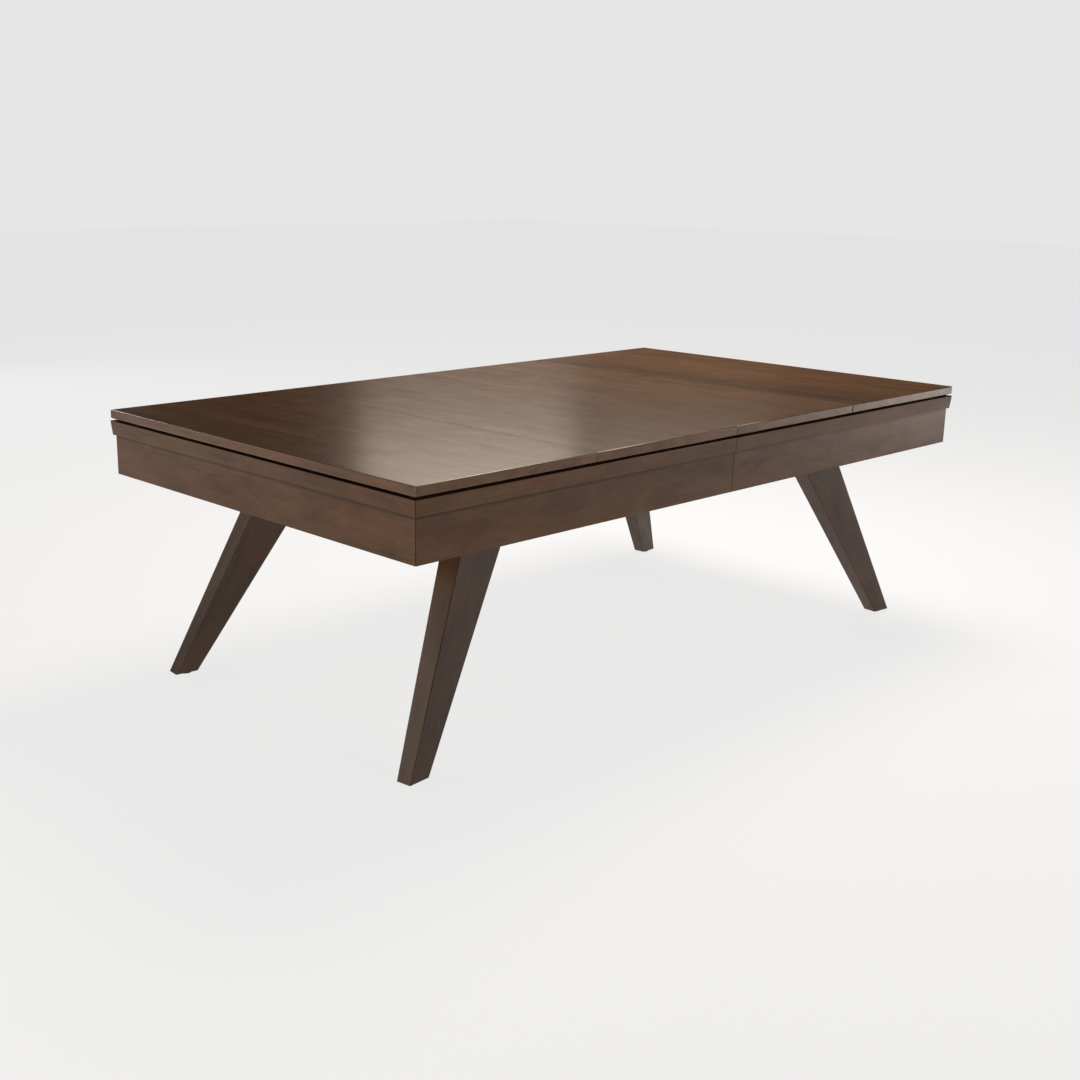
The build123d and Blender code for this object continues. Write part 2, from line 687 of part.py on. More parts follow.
def leveller(corner):
    """Threaded levelling foot; its pad is flush with the floor."""
    x, y = leveller_spot()
    pad = post(LEVELLER_RADIUS, x, y, 0, LEVELLER_THICK)
    return at_corner(pad + post(STUD_RADIUS, x, y, LEVELLER_THICK, LEVELLER_THICK + STUD_LENGTH), corner)


def leveller_inserts():
    """Threaded insert in the foot of each leg."""
    x, y = leveller_spot()
    ring = post(INSERT_RADIUS, x, y, LEVELLER_THICK, LEVELLER_THICK + INSERT_LENGTH)
    ring = ring - post(STUD_RADIUS + STUD_FIT, x, y, 0, HEIGHT)
    return Compound([at_corner(ring, corner) for corner in CORNERS])


# ---- dining top ----
def panel_edges():
    """X of the panels' boundaries, left to right."""
    half = TOP_LENGTH / 2
    seam = half - PANEL_SHARE_END * TOP_LENGTH
    return [-half, -seam, 0.0, seam, half]


def panel_span(number):
    """Start and stop of one panel, less half a seam at each joint."""
    edges = panel_edges()
    low = edges[number] + (PANEL_SEAM / 2 if number else 0)
    high = edges[number + 1] - (PANEL_SEAM / 2 if number < 3 else 0)
    return low, high


def dining_panel(number):
    """One board of the dining top."""
    low, high = panel_span(number)
    return box_between(low, high, -TOP_WIDTH / 2, TOP_WIDTH / 2, HEIGHT - PANEL_THICK, HEIGHT)


def panel_pads(number):
    """Felt pads under one panel, on the rails' outer part."""
    low, high = panel_span(number)
    y = HALF_WIDTH - PAD_DEPTH
    start = low + PAD_FROM_SEAM if number else PAD_DEPTH - HALF_LENGTH
    stop = high - PAD_FROM_SEAM if number < 3 else HALF_LENGTH - PAD_DEPTH
    spots = [(x, side * y) for x in (start, (start + stop) / 2, stop) for side in (-1, 1)]
    if number in (0, 3):
        x = start if number == 0 else stop
        spots += [(x, step * END_PAD_PITCH) for step in (-1, 0, 1)]
    return Compound([post(PAD_RADIUS, x, y, RAIL_TOP + SOFT_GAP, HEIGHT - PANEL_THICK) for x, y in spots])


def write_rails():
    """Rails, cushions, aprons and what goes with each length of them."""
    holes = pocket_screw_holes()
    cloths = []
    strips = []
    for side, (_, _, _, runs) in SIDES.items():
        for part, start, stop in runs:
            name = f"{side}_{part}"
            save(rail(side, start, stop, holes), f"rail_{name}")
            save(cushion(side, start, stop), f"cushion_{name}")
            save(apron(side, start, stop), f"apron_{name}")
            cloths.append(cushion_cloth(side, start, stop))
            strips.append(feather_strip(side, start, stop))
    save(Compound(cloths), "cushion_cloths")
    save(Compound(strips), "feather_strips")
    save(rail_sights(), "rail_sights")
    save(rail_bolts(), "rail_bolts")
    save(apron_brackets(), "apron_brackets")


def write_pockets():
    """Six drop pockets and their screws."""
    for name, kind, place in pocket_places():
        save(pocket(kind, place), f"pocket_{name}")
    save(pocket_screws(), "pocket_screws")


def write_bed():
    """Slates, their screws and the cloth."""
    bed = bed_with_bolt_holes()
    for number, name in enumerate(("left", "middle", "right")):
        save(slate(number, bed), f"slate_{name}")
    save(Compound([slate_screw(x, y, 0.0) for x, y in slate_screw_spots()]), "slate_screws")
    save(bed_cloth(), "bed_cloth")


def write_frame():
    """Beams, legs, plates, bolts and levellers."""
    save(side_beam(-1), "side_beam_front")
    save(side_beam(1), "side_beam_back")
    save(end_beam(-1), "end_beam_left")
    save(end_beam(1), "end_beam_right")
    save(seam_beams(), "seam_beams")
    save(Compound([leg_beam(-1), leg_beam(1)]), "leg_beams")
    save(leg_plates(), "leg_plates")
    save(leg_bolts(), "leg_bolts")
    save(leveller_inserts(), "leveller_inserts")
    for corner in CORNERS:
        save(leg(corner), f"leg_{corner}")
        save(leveller(corner), f"leveller_{corner}")


def write_top():
    """Four dining panels and their pads."""
    for number, name in enumerate(("left_end", "left_middle", "right_middle", "right_end")):
        save(dining_panel(number), f"dining_panel_{name}")
        save(panel_pads(number), f"pads_{name}")


write_rails()
write_pockets()
write_bed()
write_frame()
write_top()
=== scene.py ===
import math
import bmesh
import bpy
from mathutils import Euler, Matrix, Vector


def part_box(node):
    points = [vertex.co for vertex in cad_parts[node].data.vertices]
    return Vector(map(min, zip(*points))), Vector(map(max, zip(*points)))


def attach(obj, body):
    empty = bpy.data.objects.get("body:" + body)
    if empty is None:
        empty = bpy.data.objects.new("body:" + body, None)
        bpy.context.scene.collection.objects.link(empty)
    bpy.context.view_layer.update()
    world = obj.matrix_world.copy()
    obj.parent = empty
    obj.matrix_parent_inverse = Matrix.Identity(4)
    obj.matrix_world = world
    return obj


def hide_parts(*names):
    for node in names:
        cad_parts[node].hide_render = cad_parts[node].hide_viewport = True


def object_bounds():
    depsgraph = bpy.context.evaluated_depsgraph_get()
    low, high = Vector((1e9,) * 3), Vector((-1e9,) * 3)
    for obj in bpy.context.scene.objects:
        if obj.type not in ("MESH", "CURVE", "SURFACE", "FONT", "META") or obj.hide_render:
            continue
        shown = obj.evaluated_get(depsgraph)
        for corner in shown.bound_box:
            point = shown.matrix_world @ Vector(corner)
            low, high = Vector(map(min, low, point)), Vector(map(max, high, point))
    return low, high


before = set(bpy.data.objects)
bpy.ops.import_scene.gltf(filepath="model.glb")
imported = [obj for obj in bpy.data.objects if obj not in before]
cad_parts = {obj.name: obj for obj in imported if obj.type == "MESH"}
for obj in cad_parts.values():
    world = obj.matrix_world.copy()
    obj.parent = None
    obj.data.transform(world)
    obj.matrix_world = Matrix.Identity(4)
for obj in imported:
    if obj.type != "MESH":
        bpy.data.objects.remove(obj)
cad_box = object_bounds()

# ---- the table's parts, by name ----
CORNERS = ("front_left", "front_right", "back_left", "back_right")
END_RUNS = ("left_end", "right_end")
RUNS = (*CORNERS, *END_RUNS)  # the runs of rail, apron and cushion
PANELS = ("left_end", "left_middle", "right_middle", "right_end")
POCKETS = (*CORNERS, "front_side", "back_side")
SLATES = ("slate_left", "slate_middle", "slate_right")
SIDE_BEAMS = ("side_beam_front", "side_beam_back")
CROSS_BEAMS = ("end_beam_left", "end_beam_right", "seam_beams", "leg_beams")

# ---- sizes, in metres ----
HALF_LENGTH, HALF_WIDTH = cad_box[1][0], cad_box[1][1]
OUTER_WOOD = 0.020  # depth of wood in from the outside in which corners are rounded
END_CLOTH_HALF = 0.5565  # an end cushion's cloth stays this near the long middle line
LEAF_WIDTH = 0.152  # one leaf of veneer on the dining top
PANEL_ROUND = 0.0025  # the dining panels' outer corners
SEAM_ROUND = 0.0008  # their corners along the seams
BOARD_ROUND = 0.0012  # rails and aprons
LEG_ROUND = 0.0014
FELT_ROUND = 0.0012
LEATHER_ROUND = 0.0009
BEAM_ROUND = 0.002
LEDGE_SHADOW_LINE = 0.012  # height of the painted shadow line below the rails
LEDGE_SHADOW_SOLID = 0.003  # and of its darkest part

BROAD = 0.012  # a face wider than this is a flat one
CREASE = math.radians(32)  # and an edge sharper than this is a corner
FLAT = math.radians(0.5)  # faces nearer to one plane than this are one face
ROUNDED = math.radians(38)  # an edge sharper than this is rounded
NEAR_SQUARE = math.radians(60)
SAME_POINT = 0.000002  # corners nearer to each other than this are one
QUARTER_TURN = (0, 0, math.radians(90))
NO_TURN = (0, 0, 0)

# ---- brightness of what stands round the table ----
SURROUNDINGS = 0.785
FLOOR_GREY = 0.18
FLOOR_GLOW = 0.77


# ---- finishes ----
class Finish:
    """A material in the making: its shader and the nodes that feed it."""

    def __init__(self, name, **values):
        self.material = bpy.data.materials.new(name)
        self.material.use_nodes = True
        self.nodes = self.material.node_tree.nodes
        self.links = self.material.node_tree.links
        self.shader = self.nodes["Principled BSDF"]
        for socket, value in values.items():
            self.shader.inputs[socket.replace("_", " ")].default_value = value
        self.place = self.add("TexCoord", {}).outputs["Object"]

    def add(self, kind, inputs, **settings):
        """A new node with its settings made and its inputs fed."""
        node = self.nodes.new("ShaderNode" + kind)
        for name, value in settings.items():
            setattr(node, name, value)
        for name, value in inputs.items():
            self.feed(node.inputs[name], value)
        return node

    def feed(self, socket, value):
        """Join a socket to another, or set its number."""
        if isinstance(value, bpy.types.NodeSocket):
            self.links.new(value, socket)
        else:
            socket.default_value = value

    def give(self, **values):
        """Feed the shader's own sockets."""
        for socket, value in values.items():
            self.feed(self.shader.inputs[socket.replace("_", " ")], value)

    def turned(self, turn):
        """The place, turned about the piece's origin."""
        return self.add("Mapping", {"Vector": self.place, "Rotation": turn}).outputs[0]

    def scaled(self, place, scale):
        """A place scaled along its own axes."""
        return self.add("Mapping", {"Vector": place, "Scale": scale}).outputs[0]

    def stretched(self, scale, turn=NO_TURN):
        """The place turned, then scaled."""
        return self.scaled(self.turned(turn), scale)

    def noise(self, place, scale, detail=2.0, roughness=0.5, distortion=0.0):
        """Noise between 0 and 1."""
        values = {"Vector": place, "Scale": scale, "Detail": detail}
        values.update({"Roughness": roughness, "Distortion": distortion})
        return self.add("TexNoise", values).outputs["Fac"]

    def sums(self, operation, first, second=0.0):
        """One sum on two numbers, or on the first alone."""
        node = self.add("Math", {}, operation=operation)
        self.feed(node.inputs[0], first)
        self.feed(node.inputs[1], second)
        return node.outputs[0]

    def ranged(self, value, low, high, out_low, out_high):
        """A number carried from one range to another, and held inside it."""
        limits = {"Value": value, "From Min": low, "From Max": high, "To Min": out_low, "To Max": out_high}
        return self.add("MapRange", limits).outputs["Result"]

    def mixed(self, share, first, second, blend="MIX"):
        """Two colours mixed."""
        node = self.add("Mix", {}, data_type="RGBA", blend_type=blend)
        self.feed(node.inputs[0], share)
        self.feed(node.inputs[6], first)
        self.feed(node.inputs[7], second)
        return node.outputs[2]

    def shaded(self, value, stops):
        """A colour ramp through a list of places and colours."""
        ramp = self.add("ValToRGB", {"Fac": value})
        while len(ramp.color_ramp.elements) < len(stops):
            ramp.color_ramp.elements.new(0.5)
        for element, (place, colour) in zip(ramp.color_ramp.elements, stops):
            element.position = place
            element.color = (*colour, 1)
        return ramp.outputs["Color"]

    def relief(self, height, distance, strength):
        """A bump from a height."""
        values = {"Height": height, "Distance": distance, "Strength": strength}
        return self.add("Bump", values).outputs["Normal"]


# walnut tones, each dark, middle and light: rails and aprons, legs (drawn darker as painted shade), veneer,
# the panels' lipping, a painted highlight for the legs' rounded corners, and near black for the rails' and
# aprons' rounded corners, painted shade in the seams and the painted shadow below the rails
WALNUT = ((0.056, 0.0245, 0.0092), (0.090, 0.0415, 0.0165), (0.124, 0.061, 0.027))
# the legs: the same walnut drawn darker than the rails, as painted shade
WALNUT_LEG_SHADED = ((0.028, 0.0122, 0.0047), (0.051, 0.0234, 0.0098), (0.078, 0.038, 0.0176))
WALNUT_TOP = ((0.055, 0.0260, 0.0112), (0.097, 0.0480, 0.0220), (0.144, 0.077, 0.0375))
WALNUT_EDGE = ((0.076, 0.0345, 0.0145), (0.118, 0.0575, 0.0250), (0.160, 0.084, 0.040))
# a painted highlight: the legs' rounded corners drawn paler
WALNUT_LEG_HIGHLIGHT = ((0.080, 0.0450, 0.0260), (0.130, 0.0780, 0.0480), (0.180, 0.112, 0.072))
# near black: the rails' and aprons' rounded corners, painted shade in the panel seams and the painted shadow
# below the rails
WALNUT_DARK_CORNER_AND_SHADE = ((0.016, 0.0080, 0.0040), (0.026, 0.0125, 0.0060), (0.040, 0.020, 0.010))


def walnut(name, turn, tones=WALNUT, leaves=0.0, lacquer=0.15, ledge=None):
    """Walnut stain on fine hardwood under satin lacquer; the turn brings its grain along local X.

    leaves is how much one leaf of veneer differs from the next. Just below a ledge, which is given as its
    height, the colour is darkened towards near black as a painted shadow."""
    wood = Finish(name, Coat_Weight=lacquer, Coat_Roughness=0.2, Specular_IOR_Level=0.15)
    place = wood.turned(turn)
    across = wood.add("SeparateXYZ", {"Vector": place}).outputs["Y"]
    waver = wood.ranged(wood.noise(place, 1.3, detail=1.0), 0.3, 0.7, -0.03, 0.03)
    leaf = wood.sums("FLOOR", wood.sums("DIVIDE", wood.sums("ADD", across, waver), LEAF_WIDTH))
    luck = wood.add("TexWhiteNoise", {"W": leaf}, noise_dimensions="1D")
    furthest = (5.0 * leaves, 0.0, 3.0 * leaves)
    shift = wood.add("VectorMath", {0: luck.outputs["Color"], 1: furthest}, operation="MULTIPLY")
    place = wood.add("VectorMath", {0: place, 1: shift.outputs[0]}, operation="ADD").outputs[0]

    def along(length, width):
        """Noise drawn out along the grain, its marks about so long and so wide in metres."""
        return wood.scaled(place, (1 / length, 1 / width, 1 / width))

    bands = wood.noise(along(1.3, 0.17), 1.0, detail=3.0, roughness=0.5, distortion=0.5)
    blotches = wood.noise(along(0.17, 0.065), 1.0, detail=6.0, roughness=0.62, distortion=0.5)
    streaks = wood.noise(along(0.30, 0.007), 1.0, detail=5.0, roughness=0.62, distortion=0.2)
    pores = wood.noise(along(0.016, 0.0011), 1.0, detail=1.0)
    grain = wood.sums("MULTIPLY", bands, 0.34)
    for marks, share in ((blotches, 0.42), (streaks, 0.24)):
        grain = wood.sums("ADD", grain, wood.sums("MULTIPLY", marks, share))
    lighter = wood.ranged(luck.outputs["Value"], 0.0, 1.0, -0.05 * leaves, 0.05 * leaves)
    grain = wood.sums("ADD", grain, lighter)
    dark, middle, light = tones
    stained = wood.shaded(grain, [(0.37, dark), (0.50, middle), (0.64, light)])
    redness = wood.ranged(wood.noise(along(0.5, 0.09), 1.0, detail=3.0, distortion=0.5), 0.46, 0.66, 0.0, 0.6)
    reddish = wood.mixed(redness, stained, (1.0, 0.76, 0.66, 1), "MULTIPLY")
    if ledge is not None:
        # painted shadow: towards near black just below the ledge
        height = wood.add("SeparateXYZ", {"Vector": wood.place}).outputs["Z"]
        ledge_painted_shadow = wood.ranged(height, ledge - LEDGE_SHADOW_LINE, ledge - LEDGE_SHADOW_SOLID, 0.0, 0.75)
        reddish = wood.mixed(ledge_painted_shadow, reddish, (*WALNUT_DARK_CORNER_AND_SHADE[0], 1))
    open_pores = wood.ranged(pores, 0.62, 0.74, 0.0, 0.45)
    height = wood.sums("SUBTRACT", wood.sums("MULTIPLY", streaks, 0.4), open_pores)
    wood.give(
        Base_Color=wood.mixed(open_pores, reddish, (*(0.4 * part for part in dark), 1)),
        Roughness=wood.ranged(blotches, 0.3, 0.7, 0.46, 0.36),
        Normal=wood.relief(height, 0.00005, 0.5),
    )
    return wood.material


def frame_timber(name, turn):
    """Planed pale hardwood of the hidden frame."""
    wood = Finish(name, Roughness=0.62)
    drawn_out = wood.stretched((0.8, 16.0, 16.0), turn)
    grain = wood.noise(drawn_out, 1.8, detail=5.0, roughness=0.6, distortion=0.5)
    fine = wood.noise(wood.stretched((6.0, 260.0, 260.0), turn), 1.0, detail=2.0)
    tone = wood.sums("ADD", wood.sums("MULTIPLY", grain, 0.8), wood.sums("MULTIPLY", fine, 0.2))
    stops = [(0.30, (0.26, 0.165, 0.085)), (0.52, (0.41, 0.28, 0.155)), (0.74, (0.52, 0.38, 0.23))]
    wood.give(
        Base_Color=wood.shaded(tone, stops),
        Roughness=wood.ranged(grain, 0.3, 0.7, 0.55, 0.7),
        Normal=wood.relief(fine, 0.0001, 0.4),
    )
    return wood.material


def billiard_cloth():
    """Worsted green cloth: a fine twill under a short nap, a little chalk worked in."""
    cloth = Finish("billiard_cloth", Roughness=0.93, Sheen_Weight=0.35, Sheen_Roughness=0.45)
    cloth.give(Specular_IOR_Level=0.2, Sheen_Tint=(0.35, 0.85, 0.6, 1))
    askew = cloth.turned((0, 0, math.radians(38)))
    ribs = {"Vector": askew, "Scale": 240.0, "Distortion": 1.2, "Detail": 1.0}
    twill = cloth.add("TexWave", ribs, wave_type="BANDS").outputs["Fac"]
    nap = cloth.noise(cloth.stretched((420.0, 900.0, 900.0)), 1.0, detail=3.0, roughness=0.7)
    wear = cloth.noise(cloth.place, 2.4, detail=4.0, roughness=0.6)
    fibre = cloth.sums("ADD", cloth.sums("MULTIPLY", twill, 0.35), cloth.sums("MULTIPLY", nap, 0.65))
    stops = [(0.25, (0.004, 0.078, 0.045)), (0.55, (0.008, 0.125, 0.072)), (0.85, (0.020, 0.185, 0.110))]
    green = cloth.shaded(fibre, stops)
    chalky = cloth.mixed(cloth.ranged(wear, 0.56, 0.80, 0.0, 0.16), green, (0.10, 0.24, 0.22, 1))
    cloth.give(Base_Color=chalky, Normal=cloth.relief(fibre, 0.00025, 0.6))
    return cloth.material


def felt():
    """Dark pressed felt."""
    wool = Finish("pad_felt", Roughness=0.97, Sheen_Weight=0.08, Sheen_Roughness=0.5, Specular_IOR_Level=0.05)
    fibres = wool.noise(wool.place, 900.0, detail=4.0, roughness=0.75, distortion=1.5)
    stops = [(0.3, (0.006, 0.005, 0.004)), (0.6, (0.014, 0.012, 0.010)), (0.85, (0.035, 0.031, 0.027))]
    wool.give(Base_Color=wool.shaded(fibres, stops), Normal=wool.relief(fibres, 0.0006, 0.8))
    return wool.material


def saddle_leather():
    """Dark brown leather with a pebbled grain, rubbed at its high places."""
    hide = Finish("saddle_leather", Roughness=0.5, Coat_Weight=0.12, Coat_Roughness=0.35)
    cells = hide.add("TexVoronoi", {"Vector": hide.place, "Scale": 520.0}, feature="DISTANCE_TO_EDGE")
    pebbles = cells.outputs["Distance"]
    wrinkles = hide.noise(hide.place, 130.0, detail=4.0, roughness=0.6)
    rub = hide.noise(hide.place, 18.0, detail=3.0)
    height = hide.sums("ADD", hide.ranged(pebbles, 0.0, 0.12, 0.0, 0.7), hide.sums("MULTIPLY", wrinkles, 0.5))
    tone = hide.sums("ADD", hide.sums("MULTIPLY", rub, 0.7), hide.sums("MULTIPLY", height, 0.3))
    stops = [(0.35, (0.012, 0.007, 0.005)), (0.60, (0.034, 0.019, 0.012)), (0.85, (0.085, 0.048, 0.030))]
    hide.give(
        Base_Color=hide.shaded(tone, stops),
        Roughness=hide.ranged(rub, 0.35, 0.7, 0.6, 0.42),
        Normal=hide.relief(height, 0.0003, 0.7),
    )
    return hide.material


def honed_slate():
    """Grey slate, honed, with faint beds and pale flecks."""
    stone = Finish("honed_slate", Roughness=0.6)
    beds = stone.noise(stone.stretched((2.0, 2.0, 30.0)), 2.0, detail=5.0, roughness=0.6, distortion=0.6)
    flecks = stone.noise(stone.place, 330.0, detail=2.0)
    stops = [(0.3, (0.045, 0.050, 0.056)), (0.55, (0.075, 0.082, 0.090)), (0.8, (0.12, 0.128, 0.135))]
    paler = stone.ranged(flecks, 0.66, 0.76, 0.0, 0.35)
    stone.give(
        Base_Color=stone.mixed(paler, stone.shaded(beds, stops), (0.26, 0.27, 0.28, 1)),
        Roughness=stone.ranged(beds, 0.3, 0.7, 0.66, 0.52),
        Normal=stone.relief(flecks, 0.0001, 0.5),
    )
    return stone.material


def gum_rubber():
    """Natural gum rubber of the cushions."""
    gum = Finish("gum_rubber", Roughness=0.7)
    dust = gum.noise(gum.place, 60.0, detail=4.0)
    gum.give(Base_Color=gum.shaded(dust, [(0.3, (0.16, 0.075, 0.035)), (0.7, (0.27, 0.14, 0.07))]))
    return gum.material


def metal(name, colour, roughness):
    """Metal with fine tool marks."""
    steel = Finish(name, Metallic=1.0, Roughness=roughness)
    marks = steel.noise(steel.stretched((40, 40, 400)), 6.0, detail=4.0, roughness=0.6)
    darker = tuple(0.72 * part for part in colour)
    steel.give(
        Base_Color=steel.shaded(marks, [(0.3, darker), (0.65, colour)]),
        Roughness=steel.ranged(marks, 0.3, 0.7, roughness + 0.1, roughness - 0.05),
        Normal=steel.relief(marks, 0.00005, 0.4),
    )
    return steel.material


def powder_coat():
    """Black powder coat on steel, with its fine orange peel."""
    coat = Finish("black_powder_coat", Roughness=0.5, Coat_Weight=0.1, Coat_Roughness=0.4)
    peel = coat.noise(coat.place, 700.0, detail=2.0)
    scuff = coat.noise(coat.place, 35.0, detail=4.0)
    coat.give(
        Base_Color=coat.shaded(scuff, [(0.35, (0.008, 0.008, 0.009)), (0.8, (0.022, 0.022, 0.023))]),
        Roughness=coat.ranged(scuff, 0.3, 0.7, 0.55, 0.42),
        Normal=coat.relief(peel, 0.0001, 0.35),
    )
    return coat.material


def pearl():
    """Pearl inlay: pale, with slow cool and warm clouds."""
    shell = Finish("pearl_inlay", Roughness=0.22, Coat_Weight=0.6, Coat_Roughness=0.08)
    cloud = shell.noise(shell.place, 110.0, detail=3.0, distortion=1.4)
    stops = [(0.3, (0.62, 0.66, 0.64)), (0.5, (0.82, 0.79, 0.72)), (0.7, (0.86, 0.83, 0.80))]
    shell.give(Base_Color=shell.shaded(cloud, stops), Roughness=shell.ranged(cloud, 0.3, 0.7, 0.18, 0.3))
    return shell.material


# ---- shapes from the CAD model ----
def joined_copy(node):
    """A copy of a CAD mesh with its triangles joined and its flat faces whole."""
    shape = bmesh.new()
    shape.from_mesh(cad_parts[node].data)
    bmesh.ops.remove_doubles(shape, verts=shape.verts, dist=SAME_POINT)
    bmesh.ops.dissolve_limit(shape, angle_limit=FLAT, verts=shape.verts, edges=shape.edges)
    return shape


def ease(shape, width, segments=2, where=None, sharper_than=ROUNDED, arris=0):
    """Round the sharp edges of a shape, all or those whose middle passes a test.

    The rounds take the piece's finish of the number given as arris."""
    paired = [edge for edge in shape.edges if len(edge.link_faces) == 2]
    edges = [edge for edge in paired if edge.calc_face_angle() > sharper_than]
    if where:
        edges = [edge for edge in edges if where((edge.verts[0].co + edge.verts[1].co) / 2)]
    rounds = bmesh.ops.bevel(
        shape,
        geom=edges,
        offset=width,
        segments=segments,
        profile=0.5,
        affect="EDGES",
        clamp_overlap=True,
        material=-1,
    )
    for face in rounds["faces"]:
        face.material_index = arris


def shade(shape):
    """Smooth the narrow faces of rounds and curved walls, and keep broad faces flat and corners sharp."""
    for face in shape.faces:
        face.smooth = 2 * face.calc_area() / face.calc_perimeter() < BROAD
    for edge in shape.edges:
        edge.smooth = len(edge.link_faces) != 2 or edge.calc_face_angle() < CREASE


def make_piece(shape, name, finishes, body, nodes=()):
    """Turn a shape into a finished piece that rides on a body and stands for CAD nodes."""
    shade(shape)
    mesh = bpy.data.meshes.new(name)
    shape.to_mesh(mesh)
    shape.free()
    if "custom_normal" in mesh.attributes:
        mesh.attributes.remove(mesh.attributes["custom_normal"])
    for finish in finishes if isinstance(finishes, tuple) else (finishes,):
        mesh.materials.append(finish)
    piece = bpy.data.objects.new(name, mesh)
    bpy.context.scene.collection.objects.link(piece)
    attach(piece, body)
    if nodes:
        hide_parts(*nodes)
    return piece


def paint(node, finish):
    """Give a CAD node its finish."""
    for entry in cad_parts[node].material_slots:
        entry.material = finish


def near_outside(place):
    """Whether a point is in the outer wood, near the table's ends and sides."""
    return abs(place.x) > HALF_LENGTH - OUTER_WOOD or abs(place.y) > HALF_WIDTH - OUTER_WOOD


# ---- the wooden outside ----
def dress_panels():
    """Four dining panels, veneered on top and lipped round the edge, and their felt pads."""
    wool = felt()
    veneer = walnut("walnut_veneer", QUARTER_TURN, WALNUT_TOP, leaves=1.0, lacquer=0.75)
    lipping = walnut("walnut_lipping", QUARTER_TURN, WALNUT_EDGE, lacquer=0.3)
    # painted shade for the seams between panels
    seam = walnut("walnut_seam_shade", QUARTER_TURN, WALNUT_DARK_CORNER_AND_SHADE, lacquer=0.0)
    woods = (veneer, lipping, seam)
    for panel in PANELS:
        shape = joined_copy(f"dining_panel_{panel}")
        for face in shape.faces:
            face.material_index = int(abs(face.normal.z) < 0.5)
        ease(shape, PANEL_ROUND, segments=3, where=near_outside)
        # the rounds along the seams take near black, as painted shade in the gaps between panels
        ease(shape, SEAM_ROUND, sharper_than=NEAR_SQUARE, arris=woods.index(seam))
        name = f"{panel}_panel_board"
        make_piece(shape, name, woods, f"top_{panel}", [f"dining_panel_{panel}"])
        pads = joined_copy(f"pads_{panel}")
        ease(pads, FELT_ROUND, segments=3)
        make_piece(pads, f"{panel}_panel_felt", wool, f"top_{panel}", [f"pads_{panel}"])


def dress_rails():
    """Rails and aprons, eased where they show outside, their rounded corners drawn near black and the aprons
    darkened just below the rails as a painted shadow.
    """
    ledge = min(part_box("rail_front_left")[0][2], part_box("rail_left_end")[0][2])
    for run in RUNS:
        turn = QUARTER_TURN if run in END_RUNS else NO_TURN
        # near black for the rounded corners
        dark_corner = walnut(f"walnut_dark_corner_{run}", turn, WALNUT_DARK_CORNER_AND_SHADE)
        shape = joined_copy(f"rail_{run}")
        ease(shape, BOARD_ROUND, where=near_outside, arris=1)
        wood = walnut(f"walnut_rail_{run}", turn)
        make_piece(shape, f"{run}_rail_wood", (wood, dark_corner), "table", [f"rail_{run}"])
        shape = joined_copy(f"apron_{run}")
        ease(shape, BOARD_ROUND, arris=1)
        wood = walnut(f"walnut_apron_{run}", turn, ledge=ledge)
        make_piece(shape, f"{run}_apron_board", (wood, dark_corner), "table", [f"apron_{run}"])


def leg_turn(corner):
    """Turn that brings a leg's grain along local X.

    From foot to top a leg's middle line crosses only a part of the leg's own box, the rest of which is the
    leg's thickness."""
    share_along, share_across = 0.66, 0.62
    low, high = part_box(f"leg_{corner}")
    span = Vector(high) - Vector(low)
    inward_x = span.x if "left" in corner else -span.x
    inward_y = span.y if "front" in corner else -span.y
    grain = Vector((share_along * inward_x, share_across * inward_y, span.z))
    return grain.rotation_difference(Vector((1, 0, 0))).to_euler()


def dress_legs():
    """Four legs, each with its grain along its own lean, drawn darker as painted shade, with a painted
    highlight on its rounded corners.
    """
    for corner in CORNERS:
        turn = leg_turn(corner)
        wood = walnut(f"walnut_leg_shaded_{corner}", turn, WALNUT_LEG_SHADED, lacquer=0.3)
        # painted highlight along the leg's rounded corners
        painted_highlight = walnut(f"walnut_painted_highlight_{corner}", turn, WALNUT_LEG_HIGHLIGHT, lacquer=0.5)
        shape = joined_copy(f"leg_{corner}")
        ease(shape, LEG_ROUND, arris=1)
        make_piece(shape, f"{corner}_leg_wood", (wood, painted_highlight), "table", [f"leg_{corner}"])


# ---- bed, cushions and pockets ----
def dress_bed(green):
    """The bed cloth, stretched over the slates."""
    shape = joined_copy("bed_cloth")
    cloth = make_piece(shape, "bed_cloth_stretched", green, "table", ["bed_cloth"])


def cloth_run(place):
    """Name of the cushion that a point of the cushion cloths belongs to."""
    if abs(place.y) < END_CLOTH_HALF:
        return "left_end" if place.x < 0 else "right_end"
    side = "front" if place.y < 0 else "back"
    return f"{side}_left" if place.x < 0 else f"{side}_right"


def dress_cushions(green):
    """Each cushion's own cloth."""
    for run in RUNS:
        shape = joined_copy("cushion_cloths")
        others = [face for face in shape.faces if cloth_run(face.calc_center_median()) != run]
        bmesh.ops.delete(shape, geom=others, context="FACES")
        cloth = make_piece(shape, f"{run}_cushion_cloth", green, "table", ["cushion_cloths"])


def dress_pockets(hide):
    """Leather pockets with softened edges."""
    for pocket in POCKETS:
        shape = joined_copy(f"pocket_{pocket}")
        ease(shape, LEATHER_ROUND)
        make_piece(shape, f"{pocket}_pocket_leather", hide, "table", [f"pocket_{pocket}"])


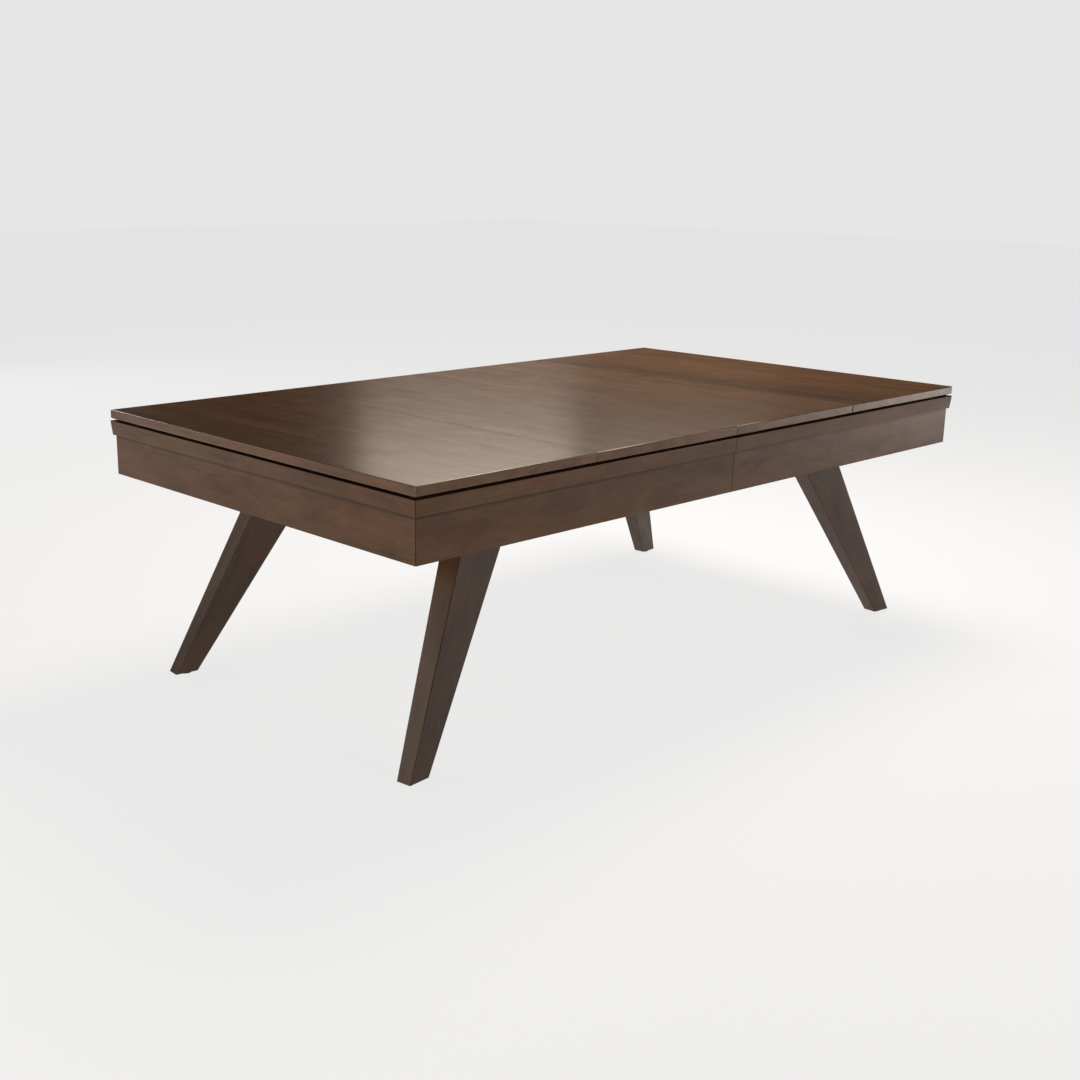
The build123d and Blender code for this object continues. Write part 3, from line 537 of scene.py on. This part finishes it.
def dress_frame():
    """The frame's beams with eased corners, and finishes for what keeps its CAD shape."""
    long_grain = frame_timber("frame_timber_long", NO_TURN)
    cross_grain = frame_timber("frame_timber_cross", QUARTER_TURN)
    for node in (*SIDE_BEAMS, *CROSS_BEAMS):
        shape = joined_copy(node)
        ease(shape, BEAM_ROUND)
        timber = long_grain if node in SIDE_BEAMS else cross_grain
        make_piece(shape, f"{node}_timber", timber, "table", [node])
    paint("feather_strips", long_grain)
    stone = honed_slate()
    for node in SLATES:
        paint(node, stone)
    gum = gum_rubber()
    for run in RUNS:
        paint(f"cushion_{run}", gum)
    zinc = metal("zinc_plate", (0.62, 0.63, 0.65), 0.32)
    for node in ("rail_bolts", "leg_bolts", "slate_screws", "apron_brackets"):
        paint(node, zinc)
    brass = metal("plain_brass", (0.70, 0.47, 0.18), 0.3)
    for node in ("leveller_inserts", "pocket_screws"):
        paint(node, brass)
    coat = powder_coat()
    paint("leg_plates", coat)
    for corner in CORNERS:
        paint(f"leveller_{corner}", coat)
    paint("rail_sights", pearl())


# ---- floor, light and camera ----
def plain_floor():
    """A wide pale floor."""
    shape = bmesh.new()
    half_side = 30
    bmesh.ops.create_grid(shape, x_segments=1, y_segments=1, size=half_side)
    mesh = bpy.data.meshes.new("floor")
    shape.to_mesh(mesh)
    shape.free()
    grey = (FLOOR_GREY, FLOOR_GREY, FLOOR_GREY, 1)
    pale = Finish("pale_floor", Base_Color=grey, Roughness=1.0, Specular_IOR_Level=0.0)
    pale.give(Emission_Color=(1.0, 1.0, 1.0, 1), Emission_Strength=FLOOR_GLOW)
    mesh.materials.append(pale.material)
    floor = bpy.data.objects.new("floor", mesh)
    bpy.context.scene.collection.objects.link(floor)


def softbox(name, place, aim, size, brightness, colour=(1, 1, 1)):
    """A soft rectangular light that the camera doesn't see."""
    light = bpy.data.lights.new(name, "AREA")
    light.shape = "RECTANGLE"
    light.size, light.size_y = size
    light.energy = brightness * math.pi * size[0] * size[1]
    light.color = colour
    lamp = bpy.data.objects.new(name, light)
    lamp.location = place
    lamp.rotation_euler = (Vector(aim) - Vector(place)).to_track_quat("-Z", "Y").to_euler()
    lamp.visible_camera = False
    bpy.context.scene.collection.objects.link(lamp)


def studio_light():
    """White surroundings that only the camera sees, and the softboxes that light the table."""
    world = bpy.data.worlds.new("studio")
    world.use_nodes = True
    back = world.node_tree.nodes["Background"]
    back.inputs["Color"].default_value = (1.0, 1.0, 1.0, 1)
    back.inputs["Strength"].default_value = SURROUNDINGS
    world.cycles_visibility.glossy = False
    world.cycles_visibility.diffuse = False
    bpy.context.scene.world = world
    bpy.context.scene.view_settings.view_transform = "Standard"
    # a window and the wall beside it, mirrored in the dining top
    softbox("window_light", (6.74, 7.68, 4.16), (-1.2, -0.68, 0.85), (2.3, 1.9), 2.1, (1.0, 0.84, 0.69))
    softbox("wall_glow", (8.6, 6.2, 4.1), (-0.4, -0.6, 0.85), (1.8, 1.6), 0.60, (1.0, 0.78, 0.56))
    # over the right half of the top
    softbox("right_light", (1.5, 0.5, 3.4), (1.0, 0.2, 0.85), (1.8, 1.8), 13.5, (1.0, 0.90, 0.80))
    # mirrored in the legs' narrow outer faces
    softbox("left_glow", (-5.8, 4.8, 2.2), (-1.0, 0.0, 0.35), (5.4, 2.0), 3.2, (1.0, 0.90, 0.78))
    # on the left end and the front
    softbox("end_light", (-5.5, -1.2, 0.9), (-1.0, 0.0, 0.6), (4.0, 1.4), 5.2, (1.0, 0.94, 0.84))
    softbox("front_light", (1.0, -6.4, 3.2), (0.4, 0.0, 0.6), (3.6, 2.0), 4.0, (1.0, 0.94, 0.86))
    # mirrored in the right part of the front apron
    softbox("low_light", (5.2, -3.2, 0.5), (1.0, -0.7, 0.7), (1.8, 0.9), 5.5, (1.0, 0.96, 0.92))
    # on the back
    softbox("back_light", (0.5, 7.5, 2.8), (0.0, 0.0, 0.6), (2.4, 1.6), 5.0)


def photographer():
    """Camera at standing height off the front left corner."""
    camera = bpy.data.cameras.new("camera")
    camera.sensor_width = 36
    camera.lens = 47.03
    camera.shift_x = 0.056
    camera.shift_y = 0.0025
    camera.clip_end = 100
    holder = bpy.data.objects.new("camera", camera)
    holder.location = (-3.4492, -3.2219, 1.5927)
    holder.rotation_euler = Euler([math.radians(angle) for angle in (75.167, -0.680, -43.462)])
    bpy.context.scene.collection.objects.link(holder)
    bpy.context.scene.camera = holder


dress_panels()
dress_rails()
dress_legs()
green = billiard_cloth()
dress_bed(green)
dress_cushions(green)
dress_pockets(saddle_leather())
dress_frame()
plain_floor()
studio_light()
photographer()
